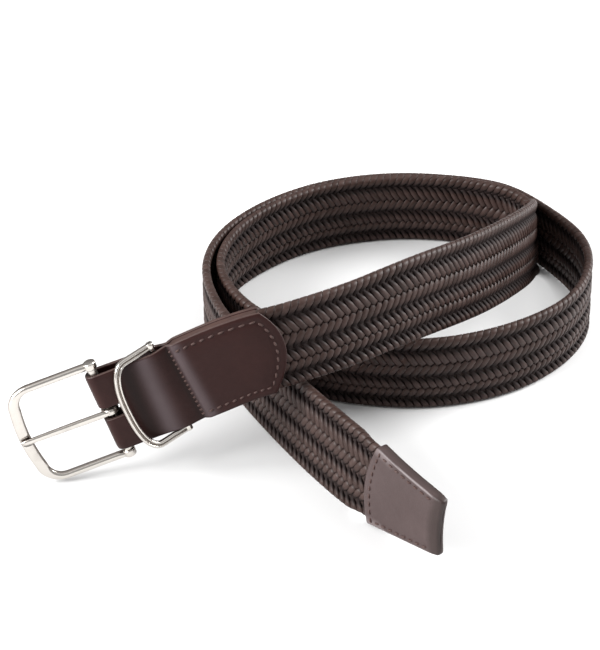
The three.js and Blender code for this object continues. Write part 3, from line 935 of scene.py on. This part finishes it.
def tabStitches():
    half = belt["width"] / 2 - chape["stitchInset"]
    endInset = chape["stitchInset"] * stitch["endInset"]
    side = np.linspace(tabStart - 1.0, tabEndAt(half) - endInset, stitch["sideSteps"])
    heights = np.linspace(half, -half, stitch["endSteps"])
    border = np.concatenate([
        np.stack([side, np.full(len(side), half)], 1),
        np.stack([tabEndAt(heights) - endInset, heights], 1)[1:],
        np.stack([side[::-1], np.full(len(side), -half)], 1)[1:],
    ])
    overrun = half + stitch["seamOverrun"]
    across = np.linspace(overrun, -overrun, stitch["seamSteps"])
    seam = np.stack([np.full(len(across), seamAt + stitch["seamOffset"]), across], 1)
    seamWay = {"length": stitch["seamLength"], "pitch": stitch["seamPitch"], "across": True}
    parts = []
    for sign in (1, -1):
        for flat, way in ((border, {}), (seam, seamWay)):
            depth = leafOpening(flat[:, 0]) + chape["leaf"] + leafRelief(flat[:, 0], flat[:, 1])
            parts += stitchParts(np.column_stack([flat, sign * depth]), sign, **way)
    return addPiece("tab_stitches", *joinParts(parts), materials["thread"], "belt", "end_leather")


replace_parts(tabStitches(), "buckle_chape")
print("tab stitches")


# Rounded rectangle, slightly crowned, as points (height across, depth)
def coverSection(halfWidth, halfThick, radius, crown):
    radius = min(radius, halfThick * 0.95, halfWidth * 0.95)
    points = []
    for centreX, centreY, start in ((1, 1, 0), (-1, 1, 1), (-1, -1, 2), (1, -1, 3)):
        for q in np.linspace(0, 1, 5):
            angle = (start + q) * math.pi / 2
            x = centreX * (halfWidth - radius) + radius * math.cos(angle)
            y = centreY * (halfThick - radius) + radius * math.sin(angle)
            points.append((x, y))
        if start in (0, 2):
            sign = 1 if start == 0 else -1
            for q in np.linspace(0, 1, 12)[1:-1]:
                x = sign * (halfWidth - radius) * (1 - 2 * q)
                points.append((x, sign * (halfThick + crown * math.sin(math.pi * q))))
    return np.array(points)


def mouthAt(height):
    return coverStart - cover["mouthBow"] * (1 - (2 * height / belt["width"]) ** 2)


def coverRing(share, grow, radius, crown):
    halfWidth, halfThick = coverHalves(share)
    rolled = 1 - cover["endFlatten"] * smoothShare(0.86, 1, share)
    section = coverSection(halfWidth + grow, halfThick * rolled + grow, radius, crown)
    mouth = mouthAt(section[:, 0])
    end = beltLength - cover["endHollow"] * (1 - (2 * section[:, 0] / cover["endWidth"]) ** 2)
    return np.column_stack([mouth + share * (end - mouth), section])


# Painted highlight on the front corners, and painted shade on the back edge and over the blunt end,
# where it curves away
coverHighlightAndShade = {
    "end": 0.8,  # strengths
    "backEdge": 0.85,
    "corner": 0.7,
    "endShares": (0.83, 0.87),  # the painted shade on the end comes in between these shares of the length
    "endCurve": 0.045,
}


# Painted shade on the end and the back edge, painted highlight on the front corners
def coverHighlightAndShadeOf(straight):
    share = (straight[:, 0] - mouthStart) / (beltLength - mouthStart)
    across = np.abs(straight[:, 1]) / coverHalves(share)[0]
    curved = coverHighlightAndShade["endCurve"] * across**2
    low, high = coverHighlightAndShade["endShares"]
    atEnd = smoothShare(low + curved, high + curved, share) * coverHighlightAndShade["end"]
    onBackEdge = (across > 0.9) & (straight[:, 2] < -0.6)
    onCorner = (across > 0.95) & (across < 0.996) & (straight[:, 2] > 0.9) & (share < 0.85)
    return {
        "painted_shade": np.maximum(atEnd, onBackEdge * coverHighlightAndShade["backEdge"]),
        "painted_highlight": onCorner * coverHighlightAndShade["corner"],
    }


def makeTipCover():
    leaf, radius = cover["leaf"], cover["cornerRadius"]
    # out along the inside, over the mouth's edge, along the outside and over the end
    rings = [coverRing(share, -leaf, 0.8, 0.0) for share in cover["insideShares"]]
    rings += [coverRing(0.0, -leaf * left, corner, 0.0) for left, corner in cover["mouthEdge"]]
    rings.append(coverRing(0.01, 0.0, radius, 0.0))
    for share in cover["outsideShares"]:
        crown = cover["crown"] * smoothShare(*cover["crownShares"], share)
        rings.append(coverRing(share, 0.0, radius, crown))
    for q in np.linspace(0, 1, cover["endSteps"])[1:]:
        share = 1 - cover["endShare"] * (1 - math.sin(q * math.pi / 2))
        shrink = cover["endRounding"] * (1 - math.cos(q * math.pi / 2))
        rings.append(coverRing(share, -shrink, radius, 0.2 * (1 - q)))
    straight = np.vstack(rings)
    faces = ringFaces(len(rings), len(rings[0]))
    piece = addPiece("tail_cover", bend(straight), faces, materials["tipLeather"], "belt",
                     "tip_leather", attributes=coverHighlightAndShadeOf(straight))
    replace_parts(piece, "tip_cover")


def coverStitches():
    near, far = cover["stitchShares"]

    def pointAt(share, inset, sign):
        halfWidth, halfThick = coverHalves(share)
        height = inset * (halfWidth - cover["stitchInset"])
        mouth = mouthAt(height)
        depth = halfThick + 0.1 * smoothShare(*cover["crownShares"], share)
        return (mouth + share * (beltLength - mouth), height, sign * depth)

    parts = []
    for sign in (1, -1):
        line = [pointAt(share, 1, sign) for share in np.linspace(far, near, 20)]
        line += [pointAt(near, inset, sign) for inset in np.linspace(1, -1, 24)[1:]]
        line += [pointAt(share, -1, sign) for share in np.linspace(near, far, 20)[1:]]
        parts += stitchParts(line, sign)
    points, faces = joinParts(parts)
    return addPiece("tail_cover_stitches", points, faces, materials["thread"], "belt", "tip_leather")


makeTipCover()
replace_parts(coverStitches(), "tip_cover")
print("tail cover and its stitches")

# Buckle frame
buckle = {
    "width": 45.4,
    "reach": 36.0,
    "sideBar": 3.0,
    "endBar": 4.8,
    "thickness": 3.2,
    "cornerRadius": 8.0,
    "endBow": 1.2,
    "lugRadius": 2.5,
    "barRadius": 1.8,
    "notchDepth": 0.7,
    "notchHalf": (1.4, 2.2),  # half its floor, half its mouth
    "notchReach": 4.0,
    "barRounding": 0.2,
    "lugRounding": 0.5,
    "endPlaces": (12.2, 10.5, 8.5, 6.5, 4.5, 3.2, 2.4, 1.9, 1.5, 1.0, 0.5, 0.0),  # closer at the notch
    "squareness": 0.82,
    "sides": 20,
    "barSides": 28,
}


# Painted shade darkens the metal toward its sides and underside, along with tarnish in its grooves; the
# top keeps its shine
def shadeAndTarnishAt(height, halfThick):
    return 1 - smoothShare(0.30, 0.85, height / halfThick)


def ovalPoints(halfWidth, halfThick, sides):
    angles = np.linspace(0, 2 * math.pi, sides, endpoint=False)
    c, s = np.cos(angles), np.sin(angles)
    return np.stack([
        halfWidth * np.sign(c) * np.abs(c) ** buckle["squareness"],
        halfThick * np.sign(s) * np.abs(s) ** buckle["squareness"],
    ], 1)


def sweep(stations, section):
    rings = []
    for x, y, heading, halfWidth in stations:
        points = section(halfWidth)
        rings.append(np.stack([
            x - math.sin(heading) * points[:, 0],
            y + math.cos(heading) * points[:, 0],
            points[:, 1],
        ], 1))
    return np.vstack(rings), ringFaces(len(rings), len(rings[0]))


def mirrored(half):
    back = [(x, -y, -math.pi - heading, wide) for x, y, heading, wide in half[:-1][::-1]]
    return half + back


# Round bar along Y with rounded ends
def roundBar(radius, length, rounding):
    angles = np.linspace(0, 2 * math.pi, buckle["barSides"], endpoint=False)
    stations = []
    for q in np.linspace(math.pi / 2, 0, 5):
        y = -length / 2 + rounding * (1 - math.sin(q))
        stations.append((y, radius - rounding * (1 - math.cos(q))))
    stations += [(-y, r) for y, r in stations[::-1]]
    rings = []
    for y, r in stations:
        rings.append(np.stack([r * np.sin(angles), np.full(len(angles), y), r * np.cos(angles)], 1))
    return np.vstack(rings), ringFaces(len(rings), len(angles))


def makeBuckleFrame():
    sideY = buckle["width"] / 2 - buckle["sideBar"] / 2
    farX = buckle["reach"] - buckle["endBar"] / 2
    corner = buckle["cornerRadius"]
    flatHalf = sideY - corner
    half = [(x, sideY, 0.0, buckle["sideBar"] / 2) for x in np.linspace(0, farX - corner, 6)[:-1]]
    for q in np.linspace(0, 1, 13):
        turn = q * math.pi / 2
        wide = buckle["sideBar"] + (buckle["endBar"] - buckle["sideBar"]) * smoothShare(0.05, 1, q)
        x = farX - corner * (1 - math.sin(turn))
        half.append((x, flatHalf + corner * math.cos(turn), -turn, wide / 2))
    for y in buckle["endPlaces"]:
        x = farX + buckle["endBow"] * (1 - (y / flatHalf) ** 2)
        half.append((x, y, -math.pi / 2, buckle["endBar"] / 2))
    halfThick = buckle["thickness"] / 2
    loop, loopFaces = sweep(mirrored(half), lambda wide: ovalPoints(wide, halfThick, buckle["sides"]))
    # the notch that the prong lies in
    inNotch = 1 - smoothShare(*buckle["notchHalf"], np.abs(loop[:, 1]))
    inNotch = inNotch * (loop[:, 0] > farX - buckle["notchReach"]) * (loop[:, 2] > 0)
    loop[:, 2] -= inNotch * np.maximum(loop[:, 2] - (halfThick - buckle["notchDepth"]), 0)
    bar = roundBar(buckle["barRadius"], buckle["width"] - buckle["sideBar"], buckle["barRounding"])
    parts = [(loop, loopFaces), bar]
    for side in (-1, 1):
        lug, lugFaces = roundBar(buckle["lugRadius"], buckle["sideBar"], buckle["lugRounding"])
        parts.append((lug + np.array([0, side * sideY, 0]), lugFaces))
    points, faces = joinParts(parts)
    piece = addPiece("buckle_loop", placeRigid(points, 0), faces, materials["nickel"], "frame",
                     "polished_nickel", attributes={"shade_and_tarnish": shadeAndTarnishAt(points[:, 2], halfThick)})
    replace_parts(piece, "buckle_frame")


# Prong
prong = {
    "width": 2.8,
    "thickness": 1.9,
    "loopWall": 1.4,
    "overhang": 0.4,
    "seatGap": 0.3,
    "rootRise": 0.35,
    "sides": 16,
    "turns": 32,
    "taper": (  # share of the length, share of the full section
        (0.0, 0.62), (0.04, 0.8), (0.08, 1.0), (0.2, 1.0), (0.35, 1.0), (0.5, 0.97), (0.65, 0.93),
        (0.8, 0.88), (0.9, 0.84), (0.95, 0.76), (0.98, 0.6), (0.995, 0.35), (1.0, 0.12),
    ),
}


# The loop's wall cut across: distance from the bar's middle, share of the prong's width
def loopProfile(inner, outer):
    return [
        (inner, -0.42), (inner, 0.42), (inner + 0.35, 0.5), (outer - 0.4, 0.49),
        (outer, 0.3), (outer, -0.3), (outer - 0.4, -0.49), (inner + 0.35, -0.5),
    ]


def makeProng():
    inner = buckle["barRadius"] + prong["seatGap"]
    outer = inner + prong["loopWall"]
    endX = buckle["reach"] + buckle["endBow"] - prong["overhang"]
    startZ = outer - prong["thickness"] / 2
    restZ = buckle["thickness"] / 2 - buckle["notchDepth"] + prong["seatGap"] + prong["thickness"] / 2
    oval = ovalPoints(prong["width"] / 2, prong["thickness"] / 2, prong["sides"])
    rings = []
    for share, size in prong["taper"]:
        rise = prong["rootRise"] * max(1 - share / 0.08, 0)
        z = startZ + (restZ - startZ) * math.sin(share * math.pi / 2) + rise
        x = np.full(len(oval), share * endX)
        rings.append(np.stack([x, oval[:, 0] * size, z + oval[:, 1] * size], 1))
    shank = (np.vstack(rings), ringFaces(len(rings), len(oval)))
    profile = loopProfile(inner, outer)
    loopRings = []
    for angle in np.linspace(0, 2 * math.pi, prong["turns"] + 1)[:-1]:
        x, z = math.sin(angle), math.cos(angle)
        loopRings.append([(r * x, share * prong["width"], r * z) for r, share in profile])
    loopRings.append(loopRings[0])
    loop = (np.array(loopRings).reshape(-1, 3), ringFaces(len(loopRings), len(profile), capEnds=False))
    points, faces = joinParts([shank, loop])
    along = np.clip(points[:, 0] / endX, 0, 1)
    middleZ = startZ + (restZ - startZ) * np.sin(along * math.pi / 2)
    shade_and_tarnish = shadeAndTarnishAt(points[:, 2] - middleZ, prong["thickness"] / 2)
    piece = addPiece("prong", placeRigid(points, 0), faces, materials["nickel"], "prong",
                     "polished_nickel", attributes={"shade_and_tarnish": shade_and_tarnish})
    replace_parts(piece, "buckle_prong")


# Keeper ring
keeper = {
    "barRadius": 1.2,
    "reach": 20.6,
    "arm": 11.5,
    "armGap": 0.55,
    "band": 2.9,
    "bandThickness": 2.2,
    "groove": (0.75, 0.24),  # depth and reach of the line along its middle, as shares
    "edgeRoll": 0.55,
    "bowPowers": (0.9, 0.8),
    "bowSteps": 26,
    "eyeWall": 0.45,
    "barRounding": 0.1,
    "eyeRounding": 0.5,
}


def keeperSection(halfWidth):
    half = keeper["bandThickness"] / 2
    depth, reach = keeper["groove"]
    top = np.linspace(1, -1, 19)
    outer = half * (1 - depth * ridge(top, 0, reach) - keeper["edgeRoll"] * np.abs(top) ** 5)
    low = np.linspace(-1, 1, 9)
    inner = -half * (0.95 - 0.5 * np.abs(low) ** 5)
    return np.concatenate([
        np.stack([low * halfWidth, inner], 1),
        np.stack([top * halfWidth, outer], 1),
    ])


def makeKeeper():
    armY = belt["width"] / 2 + keeper["armGap"] + keeper["band"] / 2
    bowReach = keeper["reach"] - keeper["band"] / 2 - keeper["arm"]
    halfWidth, halfThick = keeper["band"] / 2, keeper["bandThickness"] / 2
    alongPower, acrossPower = keeper["bowPowers"]

    def bowPoint(q):
        angle = math.pi / 2 * min(max(q, 0), 1)
        x = keeper["arm"] + bowReach * math.sin(angle) ** alongPower
        return x, armY * math.cos(angle) ** acrossPower

    half = [(x, armY, 0.0, halfWidth) for x in np.linspace(-keeper["barRadius"], keeper["arm"], 6)[:-1]]
    steps = keeper["bowSteps"]
    for i in range(steps + 1):
        x, y = bowPoint(i / steps)
        before, after = bowPoint((i - 0.5) / steps), bowPoint((i + 0.5) / steps)
        heading = math.atan2(after[1] - before[1], after[0] - before[0])
        half.append((x, y, -math.pi / 2 if i == steps else heading, halfWidth))
    bar = roundBar(keeper["barRadius"], 2 * armY, keeper["barRounding"])
    parts = [sweep(mirrored(half), keeperSection), bar]
    for side in (-1, 1):
        eye, eyeFaces = roundBar(halfThick + keeper["eyeWall"], keeper["band"], keeper["eyeRounding"])
        parts.append((eye + np.array([0, side * armY, 0]), eyeFaces))
    points, faces = joinParts(parts)
    # the bow rests on the front leaf, so the ring lies tilted about its bar
    leafTop = float(leafOpening(chape["keeperSetback"] - keeper["arm"])) + chape["leaf"]
    turn = -math.asin((leafTop + halfThick + chape["seatGap"]) / keeper["arm"])
    placed = placeRigid(points, chape["keeperSetback"], turn)
    piece = addPiece("keeper_loop", placed, faces, materials["nickel"], "keeper",
                     "polished_nickel", attributes={"shade_and_tarnish": shadeAndTarnishAt(points[:, 2], halfThick)})
    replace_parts(piece, "keeper_ring")


makeBuckleFrame()
makeProng()
makeKeeper()
print("buckle, prong and keeper")

# Floor, light and camera
studio = {
    "world": 0.46,
    "floor": (0.67, 0.67, 0.67),
    "floorRoughness": 0.75,
    "floorReach": 4.0,  # in metres, as are the places below
    "floorDrop": 0.0002,
    # name, place, size, power
    "lights": [
        ("overhead", (0.0, 0.15, 1.5), (3.0, 2.6), 13.0),
        ("left", (-1.12, -0.42, 0.60), (0.8, 0.8), 42.0),
        ("right", (1.12, 0.30, 0.62), (0.8, 0.8), 34.0),
    ],
    "lightTarget": (0.0, 0.0, 0.02),
    "target": (belt["origin"][0] * mm, belt["origin"][1] * mm, 0.0),
    "elevation": 34.43,
    "distance": 0.8137,
    "lens": 102.24,
    "sensor": 36.0,
}


def floorShader(wire, place):
    faint = noise(place, 6.0, 2.0).remap(0.3, 0.7)
    colour = faint.blend(rgb(*studio["floor"]), rgb(*(c * 0.985 for c in studio["floor"])))
    return surface(wire, colour, studio["floorRoughness"], {"Specular IOR Level": 0.2})


def makeStudio():
    mesh = bpy.data.meshes.new("floor")
    reach = studio["floorReach"]
    corners = [(-reach, -reach, 0), (reach, -reach, 0), (reach, reach, 0), (-reach, reach, 0)]
    mesh.from_pydata(corners, [], [(0, 1, 2, 3)])
    mesh.materials.append(makeMaterial("pale_floor", floorShader))
    floor = bpy.data.objects.new("floor", mesh)
    floor.location.z = -studio["floorDrop"]
    scene.collection.objects.link(floor)
    world = bpy.data.worlds.new("studio")
    world.use_nodes = True
    background = world.node_tree.nodes["Background"]
    background.inputs["Color"].default_value = rgb(1, 1, 1)
    background.inputs["Strength"].default_value = studio["world"]
    scene.world = world
    for name, place, size, power in studio["lights"]:
        data = bpy.data.lights.new(name, "AREA")
        data.shape = "RECTANGLE"
        data.size, data.size_y = size
        data.energy = power
        lamp = bpy.data.objects.new(name, data)
        lamp.location = place
        aim = Vector(studio["lightTarget"]) - Vector(place)
        lamp.rotation_euler = aim.to_track_quat("-Z", "Y").to_euler()
        scene.collection.objects.link(lamp)
    scene.view_settings.view_transform = "Standard"


def makeCamera():
    data = bpy.data.cameras.new("camera")
    data.lens = studio["lens"]
    data.sensor_width = studio["sensor"]
    camera = bpy.data.objects.new("camera", data)
    tilt = math.radians(studio["elevation"])
    back = Vector((0, -math.cos(tilt), math.sin(tilt)))
    camera.location = Vector(studio["target"]) + back * studio["distance"]
    camera.rotation_euler = (-back).to_track_quat("-Z", "Y").to_euler()
    scene.collection.objects.link(camera)
    scene.camera = camera


makeStudio()
makeCamera()

print("studio and camera")
